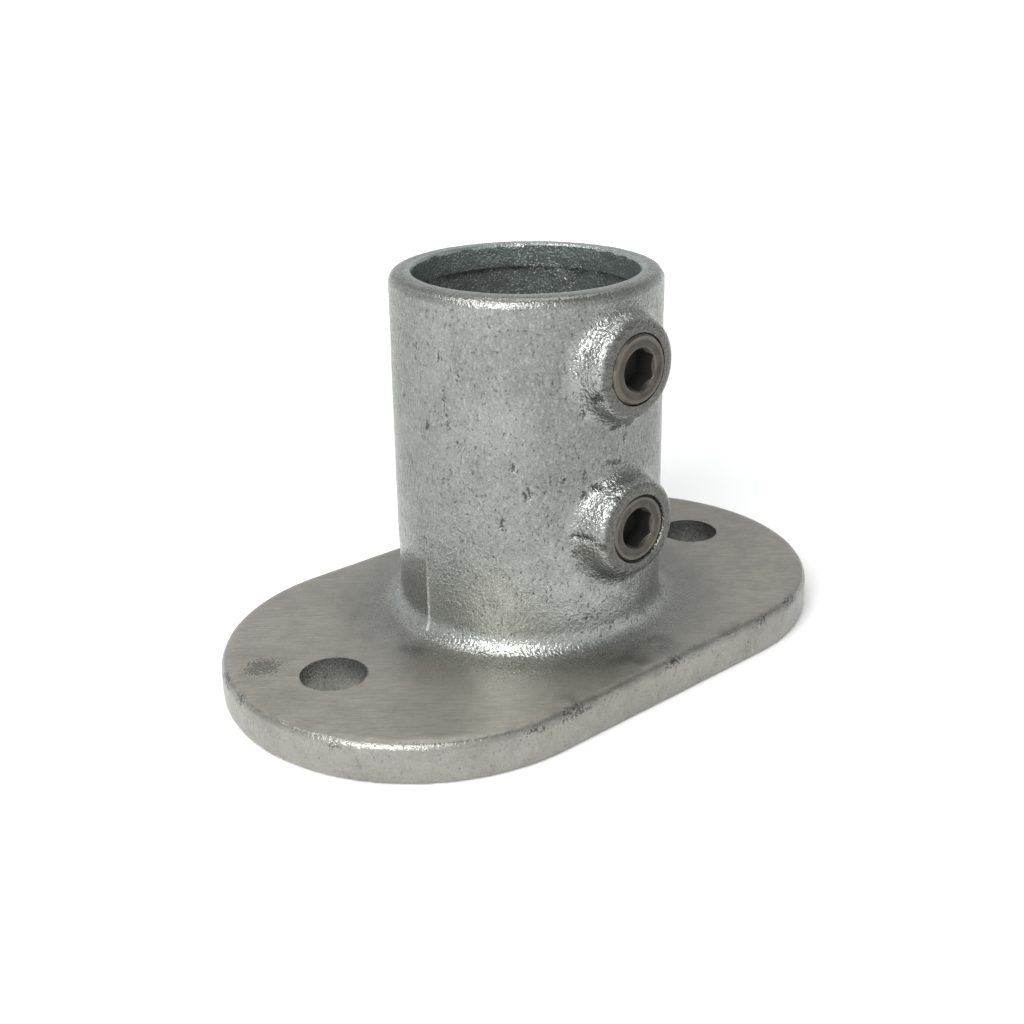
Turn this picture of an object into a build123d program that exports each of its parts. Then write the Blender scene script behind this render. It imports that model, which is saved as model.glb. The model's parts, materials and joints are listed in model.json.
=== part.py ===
"""Tube clamp base flange: a cast foot that holds an upright tube with two set screws.

X runs along the flange and Z along the tube, and the set screws face -Y. The origin is on the
tube's axis, in the plane that the flange stands on. All sizes are in millimetres.
"""
import os
from math import radians, sqrt, tan

from build123d import *

# Flange: an oblong plate with round ends
flange_length = 154.0
flange_width = 91.0
flange_thickness = 9.5
flange_top_chamfer = 1.4
flange_foot_chamfer = 0.6

# Bolt holes, one at each end of the flange
bolt_hole_d = 14.5
bolt_hole_spacing = 113.0
bolt_hole_chamfer = 0.4

# Socket: the upright wall round the tube, a little thicker at its foot than at its rim
socket_height = 88.5
socket_rim_d = 60.0
socket_foot_d = 61.0
socket_rim_chamfer = 1.2
socket_mouth_chamfer = 0.4
socket_foot_fillet_r = 5.0

# Bore: the tube touches a land at each end and clears the relief between them
tube_d = 48.3
tube_clearance = 0.55
rim_land_height = 5.5
foot_land_height = 9.5
relief_depth = 0.9
relief_slope = 45.0  # degrees

# Set screws: cup point, hexagon socket, no head. The thread is plain, at its minor diameter.
screw_d = 14.9
screw_length = 10.0
screw_clearance = 0.05
screw_face_chamfer = 0.9
screw_point_chamfer = 0.9
hex_across_flats = 8.0
hex_depth = 5.0
hex_lead_in_d = 9.6
cup_d = 9.0
cup_floor_d = 5.4
cup_depth = 1.8

# Bosses on the socket, one round each screw. Each stands this far from the socket's wall at the
# rim, and its screw stands this far out of its end face, or below it.
upper_boss_stand = 4.3
lower_boss_stand = 5.4
upper_screw_proud = 0.4
lower_screw_proud = -0.3
boss_spacing = 35.0
boss_rim_gap = 0.7  # plain wall between the upper boss's blend and the rim's chamfer
boss_end_d = 21.4
boss_draft = 12.0  # degrees
boss_end_chamfer = 0.9
boss_root_fillet_r = 2.5
tapped_hole_chamfer = 0.2

# Worked out from the sizes above
bore_r = tube_d / 2 + tube_clearance
relief_r = bore_r + relief_depth
relief_top = socket_height - rim_land_height
relief_run = relief_depth / tan(radians(relief_slope))
socket_rim_r = socket_rim_d / 2
socket_foot_r = socket_foot_d / 2
bolt_hole_r = bolt_hole_d / 2
boss_end_r = boss_end_d / 2
boss_blend_r = boss_end_r + upper_boss_stand * tan(radians(boss_draft)) + boss_root_fillet_r
thinnest_r = min(socket_rim_r, socket_foot_r)
boss_start = sqrt(thinnest_r**2 - boss_blend_r**2)  # inside the wall all round the boss
upper_boss_height = socket_height - socket_rim_chamfer - boss_rim_gap - boss_blend_r
bosses = {
    "upper": {
        "height": upper_boss_height,
        "reach": socket_rim_r + upper_boss_stand,
        "screw_face": socket_rim_r + upper_boss_stand + upper_screw_proud,
    },
    "lower": {
        "height": upper_boss_height - boss_spacing,
        "reach": socket_rim_r + lower_boss_stand,
        "screw_face": socket_rim_r + lower_boss_stand + lower_screw_proud,
    },
}
screw_r = screw_d / 2
tapped_hole_r = screw_r + screw_clearance
hex_r = hex_across_flats / 2
rise = 1.0  # how far a cut starts outside the piece

os.makedirs("parts", exist_ok=True)


def round_edges(centre, radius):
    """The round edges of the part being built that have this centre and radius."""
    circles = edges().filter_by(GeomType.CIRCLE)
    there = circles.filter_by(lambda edge: (edge.arc_center - Vector(*centre)).length < 0.01)
    return there.filter_by(lambda edge: abs(edge.radius - radius) < 0.01)


def along_screw(height):
    """The plane along a screw's axis: X runs out of the socket, along -Y, and Y lengthwise."""
    return Plane((0, 0, height), x_dir=(0, -1, 0), z_dir=(0, 0, 1))


def across_screw(height, distance):
    """The plane square to a screw's axis, facing outwards, this far from the tube's axis."""
    return Plane((0, -distance, height), x_dir=(1, 0, 0), z_dir=(0, -1, 0))


def screw_axis(height):
    return Axis((0, 0, height), (0, -1, 0))


# The casting: flange, socket and bosses in one piece
with BuildPart() as base_flange:
    with BuildSketch():
        SlotOverall(flange_length, flange_width)
    extrude(amount=flange_thickness)
    chamfer(faces().sort_by(Axis.Z)[-1].edges(), flange_top_chamfer)
    chamfer(faces().sort_by(Axis.Z)[0].edges(), flange_foot_chamfer)

    # The socket's outside, solid until the bore is cut
    with BuildSketch(Plane.XZ):
        with BuildLine():
            Polyline(
                (0, 0),
                (bore_r, 0),
                (socket_foot_r, flange_thickness),
                (socket_rim_r, socket_height),
                (0, socket_height),
                close=True,
            )
        make_face()
    revolve(axis=Axis.Z)
    fillet(round_edges((0, 0, flange_thickness), socket_foot_r), socket_foot_fillet_r)
    chamfer(round_edges((0, 0, socket_height), socket_rim_r), socket_rim_chamfer)

    # Bosses: a short drafted cone round each screw, blended into the socket
    for boss in bosses.values():
        flare = (boss["reach"] - boss_start) * tan(radians(boss_draft))
        with BuildSketch(along_screw(boss["height"])):
            with BuildLine():
                Polyline(
                    (boss_start, 0),
                    (boss_start, boss_end_r + flare),
                    (boss["reach"], boss_end_r),
                    (boss["reach"], 0),
                    close=True,
                )
            make_face()
        revolve(axis=screw_axis(boss["height"]))
        boss_root = edges(Select.LAST).filter_by(GeomType.BSPLINE)
        fillet(boss_root, boss_root_fillet_r)
        boss_end = (0, -boss["reach"], boss["height"])
        chamfer(round_edges(boss_end, boss_end_r), boss_end_chamfer)

    # Bore: a land at the rim, an undercut relief, and a land at the foot
    with BuildSketch(Plane.XZ):
        with BuildLine():
            Polyline(
                (0, -rise),
                (bore_r, -rise),
                (bore_r, foot_land_height),
                (relief_r, foot_land_height + relief_run),
                (relief_r, relief_top),
                (bore_r, relief_top),
                (bore_r, socket_height + rise),
                (0, socket_height + rise),
                close=True,
            )
        make_face()
    revolve(axis=Axis.Z, mode=Mode.SUBTRACT)
    chamfer(round_edges((0, 0, socket_height), bore_r), socket_mouth_chamfer)

    # Bolt holes
    with Locations((0, 0, flange_thickness)):
        with GridLocations(bolt_hole_spacing, 0, 2, 1):
            Hole(bolt_hole_r)
    for side in (-1, 1):
        hole_mouth = (side * bolt_hole_spacing / 2, 0, flange_thickness)
        chamfer(round_edges(hole_mouth, bolt_hole_r), bolt_hole_chamfer)

    # Tapped holes, from each boss's end into the bore
    for boss in bosses.values():
        with BuildSketch(across_screw(boss["height"], boss["reach"])):
            Circle(tapped_hole_r)
        extrude(amount=bore_r - rise - boss["reach"], mode=Mode.SUBTRACT)
        boss_end = (0, -boss["reach"], boss["height"])
        chamfer(round_edges(boss_end, tapped_hole_r), tapped_hole_chamfer)

    base_flange.part.label = "base_flange"
export_step(base_flange.part, "parts/base_flange.step")


# The set screws, each one where it stands in its boss
for name, boss in bosses.items():
    height = boss["height"]
    face = boss["screw_face"]
    point = face - screw_length
    with BuildPart() as set_screw:
        # Turned shape, with a cup in the point
        with BuildSketch(along_screw(height)):
            with BuildLine():
                Polyline(
                    (point + cup_depth, 0),
                    (point + cup_depth, cup_floor_d / 2),
                    (point, cup_d / 2),
                    (point, screw_r - screw_point_chamfer),
                    (point + screw_point_chamfer, screw_r),
                    (face - screw_face_chamfer, screw_r),
                    (face, screw_r - screw_face_chamfer),
                    (face, 0),
                    close=True,
                )
            make_face()
        revolve(axis=screw_axis(height))

        # Hexagon socket, with a lead-in cone at its mouth
        with BuildSketch(across_screw(height, face)):
            RegularPolygon(hex_r, 6, major_radius=False)
        extrude(amount=-hex_depth, mode=Mode.SUBTRACT)
        with BuildSketch(along_screw(height)):
            with BuildLine():
                Polyline((face - hex_lead_in_d / 2, 0), (face, hex_lead_in_d / 2), (face, 0), close=True)
            make_face()
        revolve(axis=screw_axis(height), mode=Mode.SUBTRACT)

    set_screw.part.label = f"{name}_set_screw"
    export_step(set_screw.part, f"parts/{name}_set_screw.step")
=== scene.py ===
"""Galvanised tube clamp base flange with its two set screws, dressed on a plain studio floor.

Everything is in metres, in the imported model's own frame: X along the flange, Z up the tube, and
the set screws face -Y. Sizes are given in millimetres and turned to metres by MM.
"""
import json
import math

import bmesh
import bpy
import numpy as np
from mathutils import Matrix, Vector, noise


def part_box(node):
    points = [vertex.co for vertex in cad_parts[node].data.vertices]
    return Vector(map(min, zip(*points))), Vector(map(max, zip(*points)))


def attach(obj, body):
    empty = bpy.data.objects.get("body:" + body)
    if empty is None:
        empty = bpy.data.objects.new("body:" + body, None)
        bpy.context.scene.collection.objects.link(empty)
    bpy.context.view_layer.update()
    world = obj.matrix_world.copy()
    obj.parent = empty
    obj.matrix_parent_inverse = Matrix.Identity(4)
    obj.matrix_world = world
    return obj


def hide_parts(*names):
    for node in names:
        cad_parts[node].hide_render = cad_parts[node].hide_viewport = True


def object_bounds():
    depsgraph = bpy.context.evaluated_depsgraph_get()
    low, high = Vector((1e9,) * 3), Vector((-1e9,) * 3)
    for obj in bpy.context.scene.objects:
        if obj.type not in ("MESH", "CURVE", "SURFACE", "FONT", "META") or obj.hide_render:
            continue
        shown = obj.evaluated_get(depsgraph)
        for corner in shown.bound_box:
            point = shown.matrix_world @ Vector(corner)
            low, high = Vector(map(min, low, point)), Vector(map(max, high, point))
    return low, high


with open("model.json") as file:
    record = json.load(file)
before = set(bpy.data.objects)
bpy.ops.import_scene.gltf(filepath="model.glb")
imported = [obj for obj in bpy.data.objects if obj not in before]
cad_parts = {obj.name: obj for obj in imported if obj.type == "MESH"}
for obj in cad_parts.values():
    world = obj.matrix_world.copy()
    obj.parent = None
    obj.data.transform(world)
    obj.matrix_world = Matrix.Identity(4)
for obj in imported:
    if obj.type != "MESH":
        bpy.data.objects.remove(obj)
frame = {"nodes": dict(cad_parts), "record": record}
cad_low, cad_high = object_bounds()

MM = 0.001

# ---------------------------------------------------------------------------------------------
# Sizes, from the frame where it has them, and otherwise as the casting was built
# ---------------------------------------------------------------------------------------------
mounts = {mount["name"]: mount for mount in frame["record"]["mounts"]}
BORE_R = mounts["tube_socket"]["dims"]["r_mm"] * MM
BOLT_HOLE_R = mounts["bolt_holes"]["dims"]["hole_r_mm"] * MM
BOLT_SPACING = mounts["bolt_holes"]["dims"]["spacing_x_mm"] * MM
BOLT_HOLES_X = (-BOLT_SPACING / 2, BOLT_SPACING / 2)
SCREWS = {"upper_set_screw": "upper_screw", "lower_set_screw": "lower_screw"}  # and their bodies
SCREW_R = (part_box("upper_set_screw")[1].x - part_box("upper_set_screw")[0].x) / 2
TAPPED_HOLE_R = SCREW_R + 0.05 * MM
RIM_Z = cad_high.z
FLANGE_Z = 9.5 * MM
FLANGE_END_R = cad_high.y
FLANGE_END_X = cad_high.x - FLANGE_END_R
WALL_R = 30.0 * MM
FOOT_R = 30.5 * MM
FOOT_FILLET = 5 * MM
RIM_LAND = 5.5 * MM
FOOT_LAND = 9.5 * MM
RELIEF = 0.9 * MM  # how deep the bore is undercut between its two lands
RIM_CHAMFER = 0.5 * MM
BOSS_REACH = {"upper_set_screw": 34.3 * MM, "lower_set_screw": 35.4 * MM}
FLANGE_END_TURNS = (180, 0)  # the mould's seam runs up the foot at both ends of the flange


def screw_height(name):
    """The height of this screw's axis."""
    low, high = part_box(name)
    return (low.z + high.z) / 2


# ---------------------------------------------------------------------------------------------
# Colours and nodes
# ---------------------------------------------------------------------------------------------
def linear(hex_colour):
    """An sRGB hex colour as linear RGBA."""
    channels = [int(hex_colour[i : i + 2], 16) / 255 for i in (1, 3, 5)]
    return [c / 12.92 if c <= 0.04045 else ((c + 0.055) / 1.055) ** 2.4 for c in channels] + [1.0]


def add_node(tree, kind, inputs=None, output=0, **settings):
    """Adds a node and gives one of its outputs. An input takes a value or the output that feeds it."""
    node = tree.nodes.new(kind)
    for name, value in settings.items():
        setattr(node, name, value)
    for name, value in (inputs or {}).items():
        if isinstance(value, bpy.types.NodeSocket):
            tree.links.new(value, node.inputs[name])
        else:
            node.inputs[name].default_value = value
    return node.outputs[output] if node.outputs else None


def new_material(name):
    """An empty material and its node tree."""
    material = bpy.data.materials.new(name)
    material.use_nodes = True
    tree = material.node_tree
    tree.nodes.clear()
    return material, tree


# ---------------------------------------------------------------------------------------------
# The casting's skin
# ---------------------------------------------------------------------------------------------
VOXEL = 0.8 * MM
ROUNDING_PASSES = 3  # smoothing passes, which round the edges by about half a millimetre
WELD = 0.001 * MM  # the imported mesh's seams are closed at this distance
BOLT_HOLE_FILLER = 1.5 * MM  # how far the filling reaches into the metal round each hole
BORE_FILLER = 2.5 * MM
TAPPED_HOLE_FILLER_R = 9 * MM


def finished_mesh(name, bm):
    """The edited mesh as one that an object can carry."""
    mesh = bpy.data.meshes.new(name)
    bm.to_mesh(mesh)
    bm.free()
    return mesh


def mesh_object(name, mesh):
    piece = bpy.data.objects.new(name, mesh)
    bpy.context.scene.collection.objects.link(piece)
    return piece


def applied(piece):
    """The object's mesh with its modifiers applied, in place of the one it had."""
    depsgraph = bpy.context.evaluated_depsgraph_get()
    mesh = bpy.data.meshes.new_from_object(piece.evaluated_get(depsgraph))
    piece.modifiers.clear()
    piece.data = mesh
    return mesh


def add_drum(bm, start, end, radius, sides=96, end_radius=None):
    """A closed cylinder or cone from start to end."""
    axis = end - start
    turn = Vector((0, 0, 1)).rotation_difference(axis).to_matrix().to_4x4()
    place = Matrix.Translation((start + end) / 2) @ turn
    bmesh.ops.create_cone(
        bm,
        cap_ends=True,
        segments=sides,
        radius1=radius,
        radius2=radius if end_radius is None else end_radius,
        depth=axis.length,
        matrix=place,
    )


def undrilled_casting():
    """The casting with its bore and its drilled holes still filled, in fine squares."""
    bm = bmesh.new()
    bm.from_mesh(frame["nodes"]["base_flange"].data)
    bmesh.ops.remove_doubles(bm, verts=bm.verts, dist=WELD)
    for name, reach in BOSS_REACH.items():
        height = screw_height(name)
        inner = Vector((0, -BORE_R - BORE_FILLER, height))
        add_drum(bm, inner, Vector((0, -reach, height)), TAPPED_HOLE_FILLER_R)
    for x in BOLT_HOLES_X:
        add_drum(bm, Vector((x, 0, 0)), Vector((x, 0, FLANGE_Z)), BOLT_HOLE_R + BOLT_HOLE_FILLER)
    add_drum(bm, Vector((0, 0, 0)), Vector((0, 0, RIM_Z)), BORE_R + BORE_FILLER)
    piece = mesh_object("base_flange_casting", finished_mesh("base_flange_casting", bm))
    remesh = piece.modifiers.new("squares", "REMESH")
    remesh.mode = "VOXEL"
    remesh.voxel_size = VOXEL
    applied(piece)
    return piece


def read_points(mesh):
    points = np.empty(len(mesh.vertices) * 3)
    mesh.vertices.foreach_get("co", points)
    return points.reshape(-1, 3)


def read_normals(mesh):
    normals = np.empty(len(mesh.vertices) * 3)
    mesh.vertices.foreach_get("normal", normals)
    return normals.reshape(-1, 3)


def write_points(mesh, points):
    mesh.vertices.foreach_set("co", points.ravel())
    mesh.update()


def smoothed(mesh, points, passes):
    """Each point moves half way to its neighbours' mean on each pass."""
    ends = np.empty(len(mesh.edges) * 2, dtype=np.int64)
    mesh.edges.foreach_get("vertices", ends)
    a, b = ends.reshape(-1, 2).T
    count = np.bincount(a, minlength=len(points)) + np.bincount(b, minlength=len(points))
    for _ in range(passes):
        total = np.zeros_like(points)
        for axis in range(3):
            total[:, axis] = np.bincount(a, points[b, axis], len(points))
            total[:, axis] += np.bincount(b, points[a, axis], len(points))
        points = (points + total / count[:, None]) / 2
    return points


def lumps(points, size, seed):
    """Smooth noise from -1 to 1 at each point, in lumps of this size."""
    shift = Vector((seed * 17.3, seed * 5.1, seed * 9.7))
    return np.array([noise.noise(Vector(p) / size + shift) for p in points])


def smoothstep(low, high, value):
    """0 at low and 1 at high, with a smooth rise between them. Low may be the larger."""
    t = np.clip((value - low) / (high - low), 0, 1)
    return t * t * (3 - 2 * t)


def near(value, middle, width):
    """1 at the middle, falling smoothly to 0 a width away."""
    return 1 - smoothstep(0, width, np.abs(value - middle))


# Pits in the wall: the angle round the tube in degrees, then in millimetres the
# height, half the width, half the height and the depth, and last how dirty it is, from 0 to 1
WALL_PITS = [
    (222, 52.7, 1.2, 2.0, 0.25, 0.5),
    (228, 47.4, 1.4, 2.6, 0.35, 0.4),
    (217, 40.0, 0.8, 2.0, 0.25, 0.5),
    (248, 37.2, 2.4, 0.9, 0.5, 1.0),
    (251, 46.0, 0.9, 1.0, 0.35, 0.9),
    (256, 47.6, 1.6, 0.8, 0.45, 1.0),
    (271, 56.8, 0.9, 0.8, 0.3, 0.6),
    (264, 51.5, 0.7, 1.0, 0.25, 0.5),
    (266, 59.6, 2.2, 0.5, 0.35, 1.0),
    (273, 59.4, 1.8, 0.5, 0.3, 1.0),
    (195, 61.5, 0.5, 3.5, 0.15, 0.4),
    (193, 66.0, 0.4, 4.0, 0.12, 0.4),
    (184, 59.7, 0.7, 1.5, 0.2, 0.7),
    (253, 67.8, 0.9, 2.2, 0.45, 1.0),
    (250, 64.0, 0.8, 1.2, 0.3, 0.7),
    (247, 33.0, 1.2, 1.4, 0.25, 0.5),
]
# Smaller ones, scattered over the whole wall
SCATTERED_PITS = 80
scatter = np.random.default_rng(11)
for _ in range(SCATTERED_PITS):
    across, up, size, dirt = scatter.random(4)
    half_width = 0.6 + 0.5 * size
    half_height = 0.6 + 0.9 * size
    WALL_PITS.append((360 * across, 12 + 73 * up, half_width, half_height, 0.05 + 0.1 * size, 0.7 * dirt))
# Nicks round the bosses' ends: x, y, z, half width and depth, in millimetres
NICKS = (
    (-9.9, -34.0, 70.0, 0.8, 0.4),
    (-9.4, -34.1, 67.2, 0.8, 0.35),
    (-10.2, -33.7, 72.8, 0.6, 0.3),
    (-2.5, -34.2, 82.8, 1.0, 0.35),
    (4.5, -34.2, 82.0, 0.8, 0.3),
    (-10.4, -34.5, 36.0, 1.0, 0.3),
    (-6.0, -34.8, 46.3, 0.9, 0.3),
)
# Dimples in the flange's top: x, y, half width and depth, in millimetres
FLANGE_DIMPLES = (
    (54, -14, 1.2, 0.3),
    (36.5, -16, 0.9, 0.25),
    (37, -24, 0.9, 0.25),
    (42, -29, 1.0, 0.25),
    (49, -31, 1.2, 0.3),
)


def pitted(points):
    """How deep, in metres, and how dirty the wall's pits are at each point."""
    x, y, z = points.T
    outside = np.hypot(x, y) > BORE_R + 2 * MM
    angle = np.degrees(np.arctan2(y, x)) % 360
    depth = np.zeros(len(points))
    dirt = np.zeros(len(points))
    for at, height, half_width, half_height, deep, dirty in WALL_PITS:
        across = np.radians(angle - at) * WALL_R / (half_width * MM)
        bowl = smoothstep(1, 0.4, np.hypot(across, (z / MM - height) / half_height)) * outside
        depth = np.maximum(depth, deep * MM * bowl)
        dirt = np.maximum(dirt, dirty * bowl)
    for *place, half_width, deep in NICKS:
        bowl = smoothstep(1, 0.4, np.linalg.norm(points / MM - place, axis=1) / half_width)
        depth = np.maximum(depth, deep * MM * bowl)
        dirt = np.maximum(dirt, bowl)
    return depth, dirt


# The waviness that sand leaves: the size of the lumps and their height
WAVES = ((14 * MM, 0.12 * MM), (5 * MM, 0.08 * MM), (1.9 * MM, 0.08 * MM))
MEAN_WAVE = 0.14 * MM


def cast_surface(points, normals):
    """How far each point of the casting lies below its true surface, in metres."""
    x, y, z = points.T
    r = np.hypot(x, y)
    flange_top = smoothstep(0.5, 0.9, normals[:, 2]) * near(z, FLANGE_Z, 1.5 * MM) * (r > 34 * MM)
    rough = 1 - 0.75 * flange_top
    rough *= 1 - 0.5 * smoothstep(0.5, 0.9, normals[:, 2]) * (z > RIM_Z - 2 * MM)
    depth = np.zeros(len(points))
    for seed, (size, height) in enumerate(WAVES, start=1):
        depth += rough * height * (1 - lumps(points, size, seed)) / 2
    # The socket's wall and bosses keep their mean size
    depth -= MEAN_WAVE * smoothstep(FLANGE_Z, FLANGE_Z + 4 * MM, z) * (z < RIM_Z - 1.5 * MM)
    depth += pitted(points)[0]
    for at_x, at_y, width, deep in FLANGE_DIMPLES:
        away = np.hypot(x - at_x * MM, y - at_y * MM) + 10 * (z < FLANGE_Z - 1 * MM)
        depth += deep * MM * near(away, 0, width * MM)
    return depth * smoothstep(0.1 * MM, 0.8 * MM, z)


def foot_radius(above):
    """The foot's radius at this height above the flange, with its fillet."""
    wall = FOOT_R + (WALL_R - FOOT_R) * above / (RIM_Z - FLANGE_Z)
    left = max(FOOT_FILLET - above, 0)
    return wall + FOOT_FILLET - math.sqrt(FOOT_FILLET**2 - left**2)


SEAM_STEP = 0.65 * MM
SEAM_HEIGHT = 26 * MM
SEAM_SWEEP = 50  # how far round the foot the step fades out, in degrees
CLEAR_OF_FOOT = 60 * MM
FLASH_HEIGHT = 0.12 * MM
FLASH_DEPTH = 1.2 * MM  # how deep its sides go into the wall


def bridge(bm, rings):
    """Rows of faces between rings of points, and the rings as they now stand in the mesh."""
    loops = [[bm.verts.new(point) for point in ring] for ring in rings]
    for lower, upper in zip(loops, loops[1:]):
        for i in range(len(lower)):
            j = (i + 1) % len(lower)
            bm.faces.new((lower[i], lower[j], upper[j], upper[i]))
    return loops


def closed_grid(name, rings):
    """A closed mesh from rings of points, with a flat face at each end."""
    bm = bmesh.new()
    loops = bridge(bm, rings)
    bm.faces.new(loops[0][::-1])
    bm.faces.new(loops[-1])
    bmesh.ops.recalc_face_normals(bm, faces=bm.faces)
    return finished_mesh(name, bm)


def round_socket(angle, radius, z):
    """The point at this angle round the socket, in degrees."""
    a = math.radians(angle)
    return (radius * math.cos(a), radius * math.sin(a), z)


def seam_step(turn):
    """What one half of the mould leaves off the foot, beside the seam at this angle."""
    far = turn - SEAM_SWEEP
    rings = []
    for above in np.linspace(0.3 * MM, SEAM_HEIGHT, 26):
        fade = smoothstep(0.3 * MM, 3 * MM, above) * smoothstep(SEAM_HEIGHT, SEAM_HEIGHT / 3, above)
        ring = []
        for angle in np.linspace(turn, far, 32):
            # Above 0 it cuts into the foot, and below 0 it stands clear of it
            step = SEAM_STEP * (fade * smoothstep(far, far + 16, angle) * 1.6 - 0.6)
            ring.append(round_socket(angle, foot_radius(above) - step, FLANGE_Z + above))
        for angle in (far, far + SEAM_SWEEP / 2, turn):
            ring.append(round_socket(angle, CLEAR_OF_FOOT, FLANGE_Z + above))
        rings.append(ring)
    return closed_grid("seam_step", rings)


def seam_flash(turn):
    """The thin raised line along the seam."""
    rings = []
    for above in np.linspace(0.6 * MM, SEAM_HEIGHT, 24):
        sink = 0.35 * MM * smoothstep(SEAM_HEIGHT / 2, SEAM_HEIGHT, above)
        crest = foot_radius(above / 3 + FOOT_FILLET * 0.6) + FLASH_HEIGHT - sink
        root = crest - FLASH_DEPTH
        section = ((2.4, root), (1.1, crest), (0.1, crest), (0.1, root))
        rings.append([round_socket(turn + angle, radius, FLANGE_Z + above) for angle, radius in section])
    return closed_grid("seam_flash", rings)


CORE_SIDES = 200


def bore_core():
    """The sand core that leaves the bore: a land at each end and the undercut between them."""
    relief_r = BORE_R + RELIEF
    relief_foot = FOOT_LAND + RELIEF
    relief_top = RIM_Z - RIM_LAND
    mouth = RIM_Z - RIM_CHAMFER
    rings = [(height, BORE_R) for height in np.arange(-1 * MM, FOOT_LAND, 1 * MM)]
    rings += [(FOOT_LAND, BORE_R), (relief_foot, relief_r)]
    undercut = np.arange(relief_foot + 1 * MM, relief_top - 0.5 * MM, 1 * MM)
    rings += [(height, relief_r) for height in undercut]
    rings += [(relief_top, relief_r), (relief_top + 0.05 * MM, BORE_R)]
    rim_land = np.arange(relief_top + 0.9 * MM, mouth - 0.4 * MM, 0.9 * MM)
    rings += [(height, BORE_R) for height in rim_land]
    rings += [(mouth, BORE_R), (mouth + 1.5 * MM, BORE_R + 1.5 * MM)]
    angles = np.arange(CORE_SIDES) * 2 * math.pi / CORE_SIDES
    heights, radii = (np.repeat(column, CORE_SIDES) for column in zip(*rings))
    turn = np.tile(angles, len(rings))
    points = np.column_stack((radii * np.cos(turn), radii * np.sin(turn), heights))
    pebbles = 0.25 * MM * (1 + lumps(points, 2.4 * MM, 5)) / 2
    pebbles += 0.2 * MM * (1 + lumps(points, 7 * MM, 6)) / 2
    radii = radii + pebbles * (heights < mouth + 0.1 * MM)
    points = np.column_stack((radii * np.cos(turn), radii * np.sin(turn), heights))
    return closed_grid("bore_core", points.reshape(len(rings), CORE_SIDES, 3))


def combine(piece, mesh, operation="DIFFERENCE"):
    """Cuts this mesh's volume out of the piece, or joins it on, with clean edges."""
    tool = mesh_object("tool", mesh)
    cut = piece.modifiers.new("cut", "BOOLEAN")
    cut.operation = operation
    cut.solver = "EXACT"
    cut.object = tool
    applied(piece)
    bpy.data.objects.remove(tool)


BREAKTHROUGH = 2 * MM  # how far each drill runs past the metal
TAPPED_HOLE_START = 20 * MM  # inside the bore
COUNTERSINK_DEPTH = 0.6 * MM


def drills():
    """The bolt holes and the tapped holes."""
    bm = bmesh.new()
    for name, reach in BOSS_REACH.items():
        height = screw_height(name)
        start = Vector((0, -TAPPED_HOLE_START, height))
        add_drum(bm, start, Vector((0, -reach - BREAKTHROUGH, height)), TAPPED_HOLE_R)
    for x in BOLT_HOLES_X:
        add_drum(bm, Vector((x, 0, -BREAKTHROUGH)), Vector((x, 0, FLANGE_Z + BREAKTHROUGH)), BOLT_HOLE_R)
    return finished_mesh("drills", bm)


def countersinks():
    """The small chamfer at the mouth of each tapped hole, which leaves a fine gap round its screw."""
    bm = bmesh.new()
    for name, reach in BOSS_REACH.items():
        height = screw_height(name)
        bottom = Vector((0, -reach + COUNTERSINK_DEPTH, height))
        top = Vector((0, -reach - 1 * MM, height))
        add_drum(bm, bottom, top, TAPPED_HOLE_R - 0.1 * MM, end_radius=TAPPED_HOLE_R + 0.75 * MM)
    return finished_mesh("countersinks", bm)


def shade(mesh, crease):
    """Smooth shading, with the edges sharper than this angle left crisp."""
    bm = bmesh.new()
    bm.from_mesh(mesh)
    for face in bm.faces:
        face.smooth = True
    for edge in bm.edges:
        edge.smooth = len(edge.link_faces) == 2 and edge.calc_face_angle(0) < math.radians(crease)
    bm.to_mesh(mesh)
    bm.free()


def paint(mesh, name, values):
    """Keeps one number per point on the mesh, for its material to read."""
    mesh.attributes.new(name, "FLOAT", "POINT").data.foreach_set("value", values.astype(np.float32))


# Dark stains on the flange: x, y and half width, in millimetres
STAINS = ((-38, -3, 5), (-6, -39, 8), (4, -38, 7), (-27, -42, 4))
SPECKLED_STAIN = (-66, 13, 7)
BOSS_END_R = 10.4 * MM
BOSS_R = 15 * MM


def paint_flange(mesh, points, upward):
    """The flange is rubbed bare of its grain, most at the ends, and less on its sides."""
    x, y, z = points.T
    r = np.hypot(x, y)
    # Less rubbed near the foot, so the flange there is cooler and darker, partly as painted shade against
    # the wall's reflection
    near_foot = 0.35 + 0.65 * smoothstep(36 * MM, 54 * MM, r)
    top = upward * near_foot * smoothstep(FLANGE_Z + 2.5 * MM, FLANGE_Z + 0.5 * MM, z)
    side = 0.5 * (r > 40 * MM) * smoothstep(FLANGE_Z - 0.3 * MM, FLANGE_Z - 1.2 * MM, z)
    paint(mesh, "rubbed", np.maximum(top, side))


def paint_pits(mesh, points, upward):
    """Dirty pits, one speckled stain, and zinc chipped here and there along the flange's top edge."""
    x, y, z = points.T
    at_x, at_y, width = SPECKLED_STAIN
    speckled = 0.8 * near(np.hypot(x - at_x * MM, y - at_y * MM), 0, width * MM) * upward
    from_middle = np.hypot(np.maximum(np.abs(x) - FLANGE_END_X, 0), y)
    edge = smoothstep(FLANGE_END_R - 2.6 * MM, FLANGE_END_R - 0.8 * MM, from_middle)
    chipped = edge * (z > FLANGE_Z - 2 * MM) * smoothstep(0.15, 0.4, lumps(points, 7 * MM, 9))
    paint(mesh, "pitted", np.maximum(pitted(points)[1], np.maximum(speckled, 0.45 * chipped)))


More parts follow.
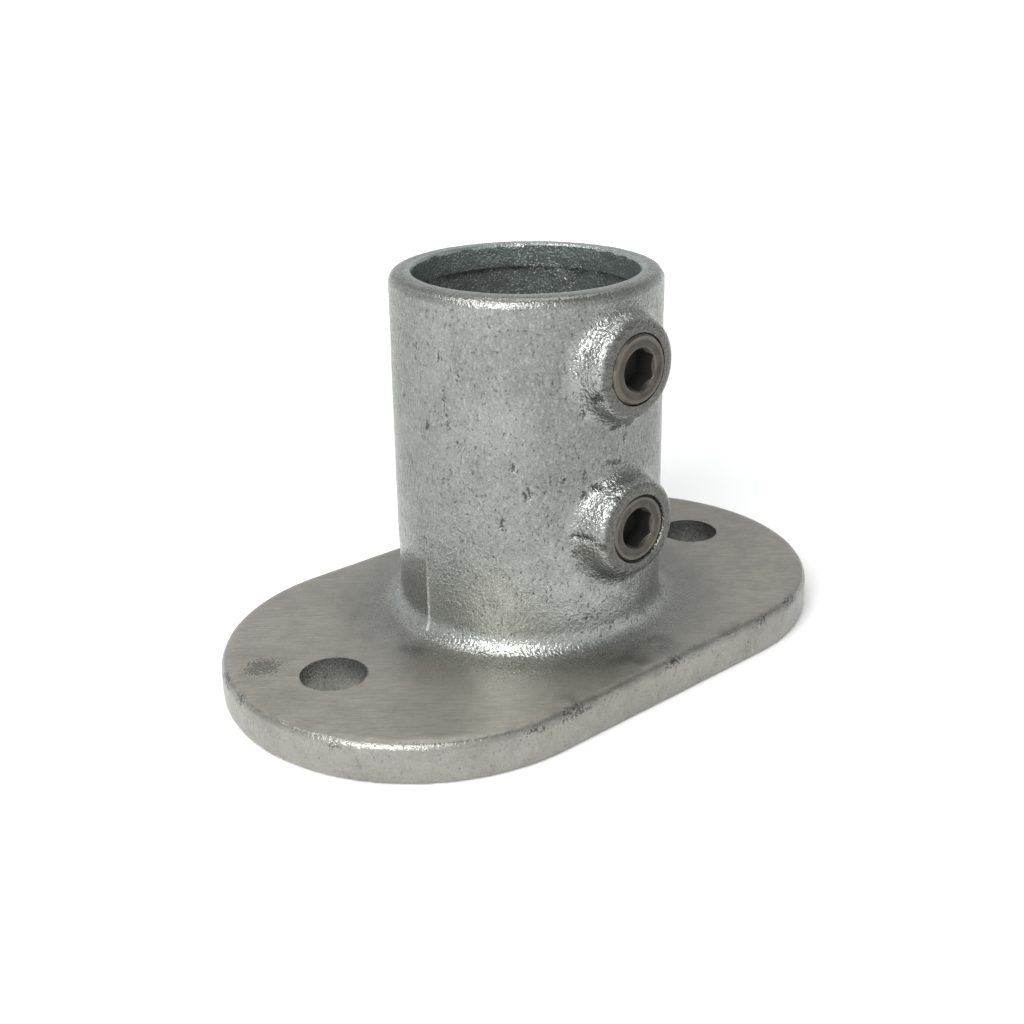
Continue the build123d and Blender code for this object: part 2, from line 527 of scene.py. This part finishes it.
def paint_seam(mesh, points):
    """Metal rubbed bright along the seam's raised line, partly a painted highlight."""
    x, y, z = points.T
    off_seam = np.abs(np.abs(y) - 0.26 * MM)
    worn_and_painted_highlight = (off_seam < 0.36 * MM) * (x * y > 0) * (np.hypot(x, y) > foot_radius(5 * MM))
    fade = smoothstep(FLANGE_Z + 19 * MM, FLANGE_Z + 8 * MM, z) * (z > FLANGE_Z + 2 * MM)
    paint(mesh, "worn_and_painted_highlight", worn_and_painted_highlight * fade)


def paint_zinc(mesh, points, upward):
    """Where the casting is stained or painted with shade, where its sand was coarse, and where it is paler
    or darker, partly as painted light and shade.
    """
    x, y, z = points.T
    r = np.hypot(x, y)
    above = z - FLANGE_Z
    stain_and_shade = np.zeros(len(points))
    for at_x, at_y, width in STAINS:
        away = np.hypot(x - at_x * MM, y - at_y * MM)
        stain_and_shade = np.maximum(stain_and_shade, near(away, 0, width * MM) * upward)
    # A line of painted shade runs inside the straight front edge, along its rounding
    straight = smoothstep(46 * MM, 30 * MM, np.abs(x))
    edge_line = near(y, -44 * MM, 1.6 * MM) * straight * (above > -2 * MM)
    stain_and_shade = np.maximum(stain_and_shade, 0.4 * edge_line)
    # Painted shade at the undercut's upper corner, under the bore's upper land
    under_land = near(z, RIM_Z - RIM_LAND - 0.7 * MM, 1.2 * MM) * (r < BORE_R + 1.8 * MM)
    stain_and_shade = np.maximum(stain_and_shade, under_land)
    # Darker beside the mould's seam, and painted shade on the flange in front of the foot, which damps the
    # wall's reflection there
    foot = smoothstep(21 * MM, 9 * MM, above) * smoothstep(0.5 * MM, 4 * MM, above)
    beside_seam = smoothstep(-0.2 * MM, 0.4 * MM, y) * smoothstep(24 * MM, 14 * MM, y) * (x < 0)
    darker_and_painted_shade = 0.5 * beside_seam * foot * (r > 29 * MM)
    in_front = smoothstep(52 * MM, 40 * MM, r) * (y < 0) * (above < 2 * MM)
    darker_and_painted_shade = np.maximum(darker_and_painted_shade, 0.4 * upward * in_front)
    # Coarser sand along the foot
    coarse = 0.45 * near(above, 1.5 * MM, 4 * MM) * (r < 38 * MM)
    # Painted light: paler towards the foot, to lift the shade on the lower wall, and paler in the bolt holes
    pale_and_painted_light = smoothstep(44 * MM, 18 * MM, z) * smoothstep(0, 3 * MM, above)
    for hole_x in BOLT_HOLES_X:
        in_hole = np.hypot(x - hole_x, y) < BOLT_HOLE_R + 0.2 * MM
        pale_and_painted_light = np.maximum(pale_and_painted_light, in_hole * (above < -0.4 * MM))
    # The bosses are coarse, with painted light on their flanks, painted shade in the crease round them,
    # strongest underneath, and darker ends, partly for their rougher finish and partly as painted shade
    for name, reach in BOSS_REACH.items():
        height = z - screw_height(name)
        around = np.hypot(x, height)
        on_socket_front = y < -20 * MM
        shade_strongest_under = 0.35 + 0.65 * smoothstep(4 * MM, -8 * MM, height)
        crease = near(around, 13.6 * MM, 2.4 * MM) * shade_strongest_under * on_socket_front
        end_face = smoothstep(BOSS_END_R, BOSS_END_R - 0.6 * MM, around) * (y < -reach + 1 * MM)
        boss = smoothstep(BOSS_R, BOSS_R - 2.5 * MM, around) * on_socket_front
        stain_and_shade = np.maximum(stain_and_shade, np.maximum(0.3 * crease, 0.6 * end_face))
        darker_and_painted_shade = np.maximum(darker_and_painted_shade, end_face)
        coarse = np.maximum(coarse, boss)
        pale_and_painted_light = np.maximum(pale_and_painted_light, 0.6 * boss * (around > 10 * MM))
    paint(mesh, "stain_and_painted_shade", stain_and_shade)
    paint(mesh, "coarse", coarse)
    paint(mesh, "pale_and_painted_light", pale_and_painted_light)
    paint(mesh, "darker_and_painted_shade", darker_and_painted_shade)


def paint_finish(mesh):
    """Marks where each part of the casting's finish shows, and where light and shade are painted on it."""
    points = read_points(mesh)
    upward = smoothstep(0.7, 0.97, read_normals(mesh)[:, 2])
    paint_flange(mesh, points, upward)
    paint_zinc(mesh, points, upward)
    paint_pits(mesh, points, upward)
    paint_seam(mesh, points)
    off_axis = np.hypot(points[:, 0], points[:, 1])
    # Painted light in the bore: paler and cooler zinc, to lift the bore's shade
    paint(mesh, "bore_painted_light", smoothstep(BORE_R + 1.9 * MM, BORE_R + 1.1 * MM, off_axis))


CASTING_CREASE = 40  # edges sharper than this stay crisp, in degrees


def casting_piece():
    """The casting, with its edges rounded, its skin, its seam and its holes."""
    piece = undrilled_casting()
    mesh = piece.data
    points = smoothed(mesh, read_points(mesh), ROUNDING_PASSES)
    write_points(mesh, points)
    normals = read_normals(mesh)
    points -= normals * cast_surface(points, normals)[:, None]
    write_points(mesh, np.clip(points, cad_low, cad_high))
    for turn in FLANGE_END_TURNS:
        combine(piece, seam_step(turn))
        combine(piece, seam_flash(turn), "UNION")
    combine(piece, bore_core())
    combine(piece, drills())
    combine(piece, countersinks())
    shade(piece.data, CASTING_CREASE)
    paint_finish(piece.data)
    piece.data.materials.clear()
    piece.data.materials.append(galvanised_casting())
    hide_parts("base_flange")
    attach(piece, "flange")


# ---------------------------------------------------------------------------------------------
# Set screws
# ---------------------------------------------------------------------------------------------
PITCH = 1.337 * MM  # a 3/8 inch pipe thread, 19 turns to the inch
THREAD_DEPTH = 0.6 * MM
THREAD_FADE = (0.9 * MM, 2 * MM)  # the thread starts plain behind the face and is whole from here
HEX_R = 4.0 * MM  # half the width across the flats
HEX_DEPTH = 5.0 * MM
LEAD_IN_R = 4.8 * MM
LEAD_IN_ROUND = 0.12 * MM
FACE_RINGS = (6.5 * MM, 6.1 * MM)
FACE_BEVEL = 0.5 * MM
POINT_CHAMFER = 0.9 * MM
CUP_R = 4.5 * MM
CUP_FLOOR_R = 2.7 * MM
CUP_DEPTH = 1.8 * MM
TURNS = 144  # points round the screw, a multiple of twelve so that the hexagon's corners are hit
SCREW_CREASE = 28  # in degrees


def screw_mesh(name):
    """A cup-point screw made of rings round its axis, from the cup's floor to the hexagon's floor."""
    low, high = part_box(name)
    face, point = low.y, high.y
    length = point - face
    angles = np.arange(TURNS) * 2 * math.pi / TURNS
    sixth = math.pi / 3
    flat = HEX_R / np.cos((angles + sixth / 2) % sixth - sixth / 2)

    def thread(depth):
        """The thread's radius at this depth below the face, all the way round."""
        phase = (depth / PITCH - angles / (2 * math.pi)) % 1
        tooth = np.clip(np.abs(phase - 0.5) * 2.6 - 0.3, 0, 1)
        radius = SCREW_R - THREAD_DEPTH * tooth * smoothstep(*THREAD_FADE, depth)
        top = SCREW_R - FACE_BEVEL + depth
        tip = SCREW_R - POINT_CHAMFER + (length - depth)
        return np.minimum(np.minimum(radius, top), tip)

    ring = np.ones(TURNS)
    rings = [(length - CUP_DEPTH, ring * CUP_FLOOR_R), (length, ring * CUP_R)]
    rings += [(depth, thread(depth)) for depth in np.arange(length, -1e-9, -0.1 * MM)]
    rings += [(0, ring * radius) for radius in (*FACE_RINGS, LEAD_IN_R + LEAD_IN_ROUND)]
    rings.append((LEAD_IN_ROUND / 3, ring * LEAD_IN_R))
    for depth in np.arange(1, 17) * 0.08 * MM:
        rings.append((depth, np.maximum(flat, LEAD_IN_R - depth)))
    rings.append((HEX_DEPTH, flat))
    middle = screw_height(name)
    placed = []
    for depth, radii in rings:
        places = zip(radii * np.cos(angles), radii * np.sin(angles))
        placed.append([(u, face + depth, middle + v) for u, v in places])
    bm = bmesh.new()
    loops = bridge(bm, placed)
    for loop in (loops[0], loops[-1]):
        centre = bm.verts.new((0, loop[0].co.y, middle))
        for i in range(TURNS):
            bm.faces.new((loop[i], loop[(i + 1) % TURNS], centre))
    bmesh.ops.recalc_face_normals(bm, faces=bm.faces)
    return finished_mesh(name + "_turned", bm)


def screw_piece(name, body, material):
    """One set screw, with its hexagon's depths and its rubbed edges marked, the edges lighter partly as a
    painted highlight.
    """
    piece = mesh_object(name + "_turned", screw_mesh(name))
    shade(piece.data, SCREW_CREASE)
    points = read_points(piece.data)
    off_axis = np.hypot(points[:, 0], points[:, 2] - screw_height(name))
    behind_face = points[:, 1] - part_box(name)[0].y
    deep = smoothstep(0.3 * MM, 0.9 * MM, behind_face) * (behind_face < HEX_DEPTH + 0.5 * MM)
    paint(piece.data, "recess", deep * (off_axis < LEAD_IN_R))
    # The outer edge and the lead-in are rubbed lighter, partly as a painted highlight
    outer_edge = smoothstep(6.0 * MM, 6.6 * MM, off_axis)
    lead_in = near(off_axis, LEAD_IN_R - 0.1 * MM, 0.35 * MM)
    paint(piece.data, "worn_and_painted_highlight", (outer_edge + 0.8 * lead_in) * (behind_face < 0.8 * MM))
    piece.data.materials.append(material)
    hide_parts(name)
    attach(piece, body)


# ---------------------------------------------------------------------------------------------
# Finishes
# ---------------------------------------------------------------------------------------------
# Places of the mix node's sockets, for colours and for plain numbers
AMOUNT, UNDER, OVER, MIXED = 0, 6, 7, 2
UNDER_NUMBER, OVER_NUMBER = 2, 3

CASTING_MARKS = ("rubbed", "bore_painted_light", "stain_and_painted_shade", "pitted", "worn_and_painted_highlight", "pale_and_painted_light", "darker_and_painted_shade", "coarse")

# Zinc: a pale grey for paler zinc and painted light, the two greys it drifts between, and a dark grey for
# darker zinc and painted shade
ZINC_PALE_AND_PAINTED_LIGHT = "#9B9D98"
ZINC_LIGHT = "#868885"
ZINC_DARK = "#757773"
ZINC_DARKER_AND_SHADE = "#5E5E59"
# The flange's rubbed metal, warmer
FLANGE_LIGHT = "#A5A096"
FLANGE_DARK = "#9B968C"
# What shows over both
# Painted light for the bore
BORE_PAINTED_LIGHT = "#A0AAA8"
CLOUD = "#74756F"
# Stains, and painted shade in creases, corners and along the front edge
STAIN_AND_SHADE = "#55554F"
PORE = "#2F302C"
# Light flecks as painted glints, also used for the seam's rubbed line with its painted highlight
WEAR_AND_GLINT = "#DADCD6"
PORE_STRENGTH = 0.75
GLINT_STRENGTH = 0.2
BRUSH_STRENGTH = 0.65
ZINC_METALLIC = 0.85
FLANGE_METALLIC = 0.55

DRIFT_SIZE = 16 * MM
CLOUD_SIZE = 4 * MM
PORE_SIZE = 0.45 * MM
RUN_SIZE = 0.6 * MM
PEBBLE_SIZE = 0.75 * MM
BRUSH_WIDTH = 0.4 * MM
BRUSH_LENGTH = 14  # times its width
BRUSH_TURN = math.radians(-41)
GRAIN_DEPTH = 0.16 * MM


def clean_metal(tree, where, mark):
    """Zinc that drifts between two greys, paler or darker in places, partly as painted light and shade, and
    the flange's metal.
    """
    drift = add_node(tree, "ShaderNodeTexNoise", {"Vector": where, "Scale": 1 / DRIFT_SIZE, "Detail": 3.0})
    drifted = add_node(tree, "ShaderNodeMapRange", {"Value": drift, "From Min": 0.35, "From Max": 0.65})
    zinc = add_node(tree, "ShaderNodeMix", {
        AMOUNT: drifted, UNDER: linear(ZINC_DARK), OVER: linear(ZINC_LIGHT),
    }, output=MIXED, data_type="RGBA")
    for name, colour in (("pale_and_painted_light", ZINC_PALE_AND_PAINTED_LIGHT), ("darker_and_painted_shade", ZINC_DARKER_AND_SHADE)):
        zinc = add_node(tree, "ShaderNodeMix", {
            AMOUNT: mark[name], UNDER: zinc, OVER: linear(colour),
        }, output=MIXED, data_type="RGBA")
    flange = add_node(tree, "ShaderNodeMix", {
        AMOUNT: drifted, UNDER: linear(FLANGE_DARK), OVER: linear(FLANGE_LIGHT),
    }, output=MIXED, data_type="RGBA")
    return add_node(tree, "ShaderNodeMix", {
        AMOUNT: mark["rubbed"], UNDER: zinc, OVER: flange,
    }, output=MIXED, data_type="RGBA")


def sand_grain(tree, where):
    """The fine grain, from about 0.6 to 1.4, and longer down the wall, as the zinc ran.

    The real grain is 0.1 to 0.3 mm. It is drawn at 0.45 and 0.6 mm, so that it shows.
    """
    specks = add_node(tree, "ShaderNodeTexNoise", {
        "Vector": where, "Scale": 1 / PORE_SIZE, "Detail": 1.0, "Roughness": 0.6,
    })
    runs = add_node(tree, "ShaderNodeTexNoise", {
        "Vector": add_node(tree, "ShaderNodeVectorMath", {0: where, 1: (1, 1, 0.5)}, operation="MULTIPLY"),
        "Scale": 1 / RUN_SIZE, "Detail": 1.0, "Roughness": 0.6,
    })
    return add_node(tree, "ShaderNodeMath", {0: specks, 1: runs}, operation="ADD")


def open_pores(tree, grain, clouds, mark):
    """The grain's hollows, which gather in clusters and in the pits."""
    clusters = add_node(tree, "ShaderNodeMapRange", {
        "Value": clouds, "From Min": 0.44, "From Max": 0.3, "To Min": 0.0, "To Max": 0.1,
    })
    gathered = add_node(tree, "ShaderNodeMath", {
        0: mark["pitted"], 1: 0.7, 2: clusters,
    }, operation="MULTIPLY_ADD")
    return add_node(tree, "ShaderNodeMapRange", {
        "Value": add_node(tree, "ShaderNodeMath", {0: grain, 1: gathered}, operation="SUBTRACT"),
        "From Min": 0.82, "From Max": 0.6, "To Max": PORE_STRENGTH,
    })


def bare_grain(tree, mark):
    """How far the grain shows: fully on zinc and in dirty pits, and little where it is smooth."""
    smooth = add_node(tree, "ShaderNodeMath", {
        0: mark["rubbed"], 1: mark["stain_and_painted_shade"],
    }, operation="MAXIMUM")
    grainy = add_node(tree, "ShaderNodeMapRange", {"Value": smooth, "To Min": 1.0, "To Max": 0.25})
    dirty = add_node(tree, "ShaderNodeMath", {
        0: mark["pitted"], 1: 3.0,
    }, operation="MULTIPLY", use_clamp=True)
    return add_node(tree, "ShaderNodeMath", {0: grainy, 1: dirty}, operation="MAXIMUM")


def casting_bump(tree, where, grain, pores, brushing, mark):
    """Pebbles left by the sand on the zinc, coarser on the bosses, and brushing on the flange."""
    pebbles = add_node(tree, "ShaderNodeTexNoise", {
        "Vector": where, "Scale": 1 / PEBBLE_SIZE, "Detail": 1.5, "Roughness": 0.5,
    })
    coarseness = add_node(tree, "ShaderNodeMapRange", {
        "Value": mark["coarse"], "To Min": 0.3, "To Max": 2.2,
    })
    pebbled = add_node(tree, "ShaderNodeMath", {0: pebbles, 1: coarseness}, operation="MULTIPLY")
    fine = add_node(tree, "ShaderNodeMath", {0: grain, 1: 0.7}, operation="MULTIPLY")
    sunk = add_node(tree, "ShaderNodeMath", {0: pores, 1: -0.5, 2: fine}, operation="MULTIPLY_ADD")
    height = add_node(tree, "ShaderNodeMix", {
        AMOUNT: mark["rubbed"],
        UNDER_NUMBER: add_node(tree, "ShaderNodeMath", {0: pebbled, 1: sunk}, operation="ADD"),
        OVER_NUMBER: add_node(tree, "ShaderNodeMath", {0: brushing, 1: 0.5}, operation="MULTIPLY"),
    })
    return add_node(tree, "ShaderNodeBump", {"Height": height, "Distance": GRAIN_DEPTH, "Strength": 1.0})


def casting_roughness(tree, grain, mark):
    """Shinier on the grain's crests and on the bosses, and duller where the flange is rubbed."""
    rough = add_node(tree, "ShaderNodeMapRange", {
        "Value": grain, "From Min": 0.7, "From Max": 1.3, "To Min": 0.34, "To Max": 0.22,
    })
    for name, change in (("rubbed", 0.1), ("coarse", -0.06)):
        rough = add_node(tree, "ShaderNodeMath", {
            0: mark[name], 1: change, 2: rough,
        }, operation="MULTIPLY_ADD")
    return rough


def galvanised_casting():
    """Hot-dip galvanised malleable iron, cast in sand.

    Dull cool zinc follows the sand's grain and breaks every highlight into glints, with painted glints on
    the grain's crests. The flange is rubbed smoother, warmer and faintly brushed, and the bore is painted
    paler and cooler, as painted light against its shade. Painted shade darkens the crease round the bosses,
    the undercut's corner, the front edge and the flange before the foot; painted light pales the lower wall
    and the bosses' flanks.
    """
    material, tree = new_material("galvanised_malleable_iron")
    where = add_node(tree, "ShaderNodeTexCoord", output="Object")
    mark = {}
    for name in CASTING_MARKS:
        mark[name] = add_node(tree, "ShaderNodeAttribute", output="Fac", attribute_name=name)
    clouds = add_node(tree, "ShaderNodeTexNoise", {
        "Vector": where, "Scale": 1 / CLOUD_SIZE, "Detail": 4.0, "Roughness": 0.65,
    })
    grain = sand_grain(tree, where)
    pores = open_pores(tree, grain, clouds, mark)
    bare = bare_grain(tree, mark)
    # Painted glints: light flecks on the grain's crests
    painted_glints = add_node(tree, "ShaderNodeMapRange", {
        "Value": grain, "From Min": 1.0, "From Max": 1.4, "To Max": GLINT_STRENGTH,
    })
    # Brush lines, drawn 0.4 mm wide where the real ones are finer, so that they show
    brushing = add_node(tree, "ShaderNodeTexNoise", {
        "Vector": add_node(tree, "ShaderNodeMapping", {
            "Vector": where, "Rotation": (0, 0, BRUSH_TURN), "Scale": (BRUSH_LENGTH, 1, 1),
        }, vector_type="TEXTURE"),
        "Scale": 1 / BRUSH_WIDTH, "Detail": 3.0, "Roughness": 0.65,
    })
    brushed = add_node(tree, "ShaderNodeMapRange", {
        "Value": brushing, "From Min": 0.3, "From Max": 0.7, "To Min": 0.0, "To Max": BRUSH_STRENGTH,
    })
    cloudy = add_node(tree, "ShaderNodeMapRange", {
        "Value": clouds, "From Min": 0.55, "From Max": 0.35, "To Max": 0.3,
    })
    # Stains and painted shade are broken up by the clouds
    broken = add_node(tree, "ShaderNodeMapRange", {
        "Value": clouds, "From Min": 0.62, "From Max": 0.42, "To Max": 1.0,
    })
    stain_and_shade = add_node(tree, "ShaderNodeMath", {0: mark["stain_and_painted_shade"], 1: broken}, operation="MULTIPLY")

    # Each layer lies over the one before: how much of it shows, twice over, and its colour
    colour = clean_metal(tree, where, mark)
    # The layers: painted light in the bore, cloudy tone, stains with painted shade, pores, painted glints,
    # wear with a painted highlight, and brush lines
    for amount, share, over in (
        (mark["bore_painted_light"], 0.75, BORE_PAINTED_LIGHT),
        (cloudy, 1.0, CLOUD),
        (stain_and_shade, 0.75, STAIN_AND_SHADE),
        (pores, bare, PORE),
        (painted_glints, bare, WEAR_AND_GLINT),
        (mark["worn_and_painted_highlight"], 1.0, WEAR_AND_GLINT),
        (brushed, mark["rubbed"], CLOUD),
    ):
        colour = add_node(tree, "ShaderNodeMix", {
            AMOUNT: add_node(tree, "ShaderNodeMath", {0: amount, 1: share}, operation="MULTIPLY"),
            UNDER: colour, OVER: linear(over),
        }, output=MIXED, data_type="RGBA")

    surface = add_node(tree, "ShaderNodeBsdfPrincipled", {
        "Base Color": colour,
        "Metallic": add_node(tree, "ShaderNodeMapRange", {
            "Value": mark["rubbed"], "To Min": ZINC_METALLIC, "To Max": FLANGE_METALLIC,
        }),
        "Roughness": casting_roughness(tree, grain, mark),
        "Normal": casting_bump(tree, where, grain, pores, brushing, mark),
    })
    add_node(tree, "ShaderNodeOutputMaterial", {"Surface": surface})
    return material


STEEL_DARK = "#383530"
STEEL_LIGHT = "#514D46"
STEEL_RECESS = "#2E2F2B"
# Rubbed steel, also a painted highlight on the screw's edges
STEEL_WORN_AND_HIGHLIGHT = "#726E66"
STEEL_METALLIC = 0.8
RECESS_METALLIC = 0.4  # oil and dirt dull the hexagon's depths
STEEL_ROUGHNESS = 0.36
WORN_ROUGHNESS = 0.16
MOTTLE_SIZE = 2.5 * MM
TOOL_MARK_SIZE = 0.3 * MM
TOOL_MARK_DEPTH = 0.03 * MM


def turned_steel():
    """Plain turned steel, faintly oiled: warm dark grey, with edges rubbed bright and partly painted with a
    highlight.
    """
    material, tree = new_material("turned_steel")
    where = add_node(tree, "ShaderNodeTexCoord", output="Object")
    recess = add_node(tree, "ShaderNodeAttribute", output="Fac", attribute_name="recess")
    worn_and_painted_highlight = add_node(tree, "ShaderNodeAttribute", output="Fac", attribute_name="worn_and_painted_highlight")
    mottle = add_node(tree, "ShaderNodeTexNoise", {"Vector": where, "Scale": 1 / MOTTLE_SIZE, "Detail": 3.0})
    mottled = add_node(tree, "ShaderNodeMapRange", {"Value": mottle, "From Min": 0.3, "From Max": 0.7})
    half_worn_and_highlight = add_node(tree, "ShaderNodeMath", {0: worn_and_painted_highlight, 1: 0.5}, operation="MULTIPLY")
    colour = linear(STEEL_DARK)
    for amount, over in ((mottled, STEEL_LIGHT), (recess, STEEL_RECESS), (half_worn_and_highlight, STEEL_WORN_AND_HIGHLIGHT)):
        colour = add_node(tree, "ShaderNodeMix", {
            AMOUNT: amount, UNDER: colour, OVER: linear(over),
        }, output=MIXED, data_type="RGBA")
    grain = add_node(tree, "ShaderNodeTexNoise", {
        "Vector": where, "Scale": 1 / TOOL_MARK_SIZE, "Detail": 2.0,
    })
    surface = add_node(tree, "ShaderNodeBsdfPrincipled", {
        "Base Color": colour,
        "Metallic": add_node(tree, "ShaderNodeMapRange", {
            "Value": recess, "To Min": STEEL_METALLIC, "To Max": RECESS_METALLIC,
        }),
        "Roughness": add_node(tree, "ShaderNodeMapRange", {
            "Value": worn_and_painted_highlight, "To Min": STEEL_ROUGHNESS, "To Max": WORN_ROUGHNESS,
        }),
        "Normal": add_node(tree, "ShaderNodeBump", {
            "Height": grain, "Distance": TOOL_MARK_DEPTH, "Strength": 0.5,
        }),
    })
    add_node(tree, "ShaderNodeOutputMaterial", {"Surface": surface})
    return material


def glowing_white_card():
    """Matt white card that glows, as painted light, more so away from the middle."""
    material, tree = new_material("glowing_white_card")
    where = add_node(tree, "ShaderNodeTexCoord", output="Object")
    away = add_node(tree, "ShaderNodeVectorMath", {0: where}, output="Value", operation="LENGTH")
    glow = add_node(tree, "ShaderNodeMapRange", {
        "Value": away, "From Min": 0.25, "From Max": 0.8, "To Min": 0.05, "To Max": 0.9,
    })
    surface = add_node(tree, "ShaderNodeBsdfPrincipled", {
        "Base Color": linear("#F7F7F7"),
        "Roughness": 0.9,
        "Emission Color": linear("#FFFFFF"),
        "Emission Strength": glow,
    })
    add_node(tree, "ShaderNodeOutputMaterial", {"Surface": surface})
    return material


# ---------------------------------------------------------------------------------------------
# Studio
# ---------------------------------------------------------------------------------------------
AIM = Vector((0, 0, 40 * MM))  # about the middle of the socket
FLOOR_WIDTH = 30
FLOOR_GAP = 0.2 * MM

# Each light's direction, as degrees round from X and up from the floor, then its distance, width
# and height in metres, and its power in watts
SOFT_LIGHTS = {
    "key": (184, 60, 0.9, 1.0, 0.12, 3.2),
    "left": (204, 34, 1.0, 0.55, 0.5, 8.6),
    "front": (250, 40, 1.0, 0.6, 0.6, 0.9),
    "right": (290, 12, 1.0, 0.6, 0.6, 0.1),
    "behind_left": (110, 30, 1.0, 0.6, 0.6, 0.5),
    "above": (40, 72, 1.0, 0.6, 0.6, 2.6),
}


def direction(azimuth, elevation):
    """The unit vector at these degrees round from X and up from the floor."""
    a, e = math.radians(azimuth), math.radians(elevation)
    return Vector((math.cos(e) * math.cos(a), math.cos(e) * math.sin(a), math.sin(e)))


def soft_light(name, azimuth, elevation, distance, width, height, power):
    """A white softbox that faces the socket."""
    data = bpy.data.lights.new(name, "AREA")
    data.shape = "RECTANGLE"
    data.size = width
    data.size_y = height
    data.energy = power
    light = bpy.data.objects.new(name, data)
    light.location = AIM + distance * direction(azimuth, elevation)
    light.rotation_euler = (AIM - light.location).to_track_quat("-Z", "Y").to_euler()
    bpy.context.scene.collection.objects.link(light)


def camera():
    """The camera stands in front of the flange's left end and looks down at the socket."""
    azimuth = 228.88
    elevation = 22.39
    roll = math.radians(-0.92)
    distance = 318.80 * MM
    right_by = -3.73 * MM
    down_by = 8.47 * MM
    out = direction(azimuth, elevation)
    right = (-out).cross(Vector((0, 0, 1))).normalized()
    up = right.cross(-out)
    rolled_right = math.cos(roll) * right + math.sin(roll) * up
    rolled_up = math.cos(roll) * up - math.sin(roll) * right
    data = bpy.data.cameras.new("camera")
    data.sensor_width = 36.0
    data.lens = 48.69
    data.clip_start = 0.01
    view = bpy.data.objects.new("camera", data)
    turn = Matrix((rolled_right, rolled_up, out)).transposed()
    place = AIM + out * distance + rolled_right * right_by - rolled_up * down_by
    view.matrix_world = Matrix.Translation(place) @ turn.to_4x4()
    bpy.context.scene.collection.objects.link(view)
    bpy.context.scene.camera = view


def white_cove():
    """The white walls round the studio, brightest near the floor."""
    world = bpy.data.worlds.new("studio")
    world.use_nodes = True
    tree = world.node_tree
    tree.nodes.clear()
    seen = add_node(tree, "ShaderNodeTexCoord", output="Generated")
    height = add_node(tree, "ShaderNodeSeparateXYZ", {0: seen}, output="Z")
    strength = add_node(tree, "ShaderNodeMapRange", {
        "Value": height, "From Min": 0.1, "From Max": 0.8, "To Min": 1.0, "To Max": 0.24,
    })
    walls = add_node(tree, "ShaderNodeBackground", {"Color": linear("#F2F4F5"), "Strength": strength})
    add_node(tree, "ShaderNodeOutputWorld", {"Surface": walls})
    return world


def studio():
    """The floor, the walls and the lights."""
    bpy.ops.mesh.primitive_plane_add(size=FLOOR_WIDTH, location=(0, 0, -FLOOR_GAP))
    floor = bpy.context.active_object
    floor.name = "floor"
    floor.data.materials.append(glowing_white_card())
    bpy.context.scene.world = white_cove()
    bpy.context.scene.view_settings.view_transform = "Standard"
    for name, settings in SOFT_LIGHTS.items():
        soft_light(name, *settings)


# ---------------------------------------------------------------------------------------------
# The scene
# ---------------------------------------------------------------------------------------------
camera()
studio()
casting_piece()
steel = turned_steel()
for screw, body in SCREWS.items():
    screw_piece(screw, body, steel)
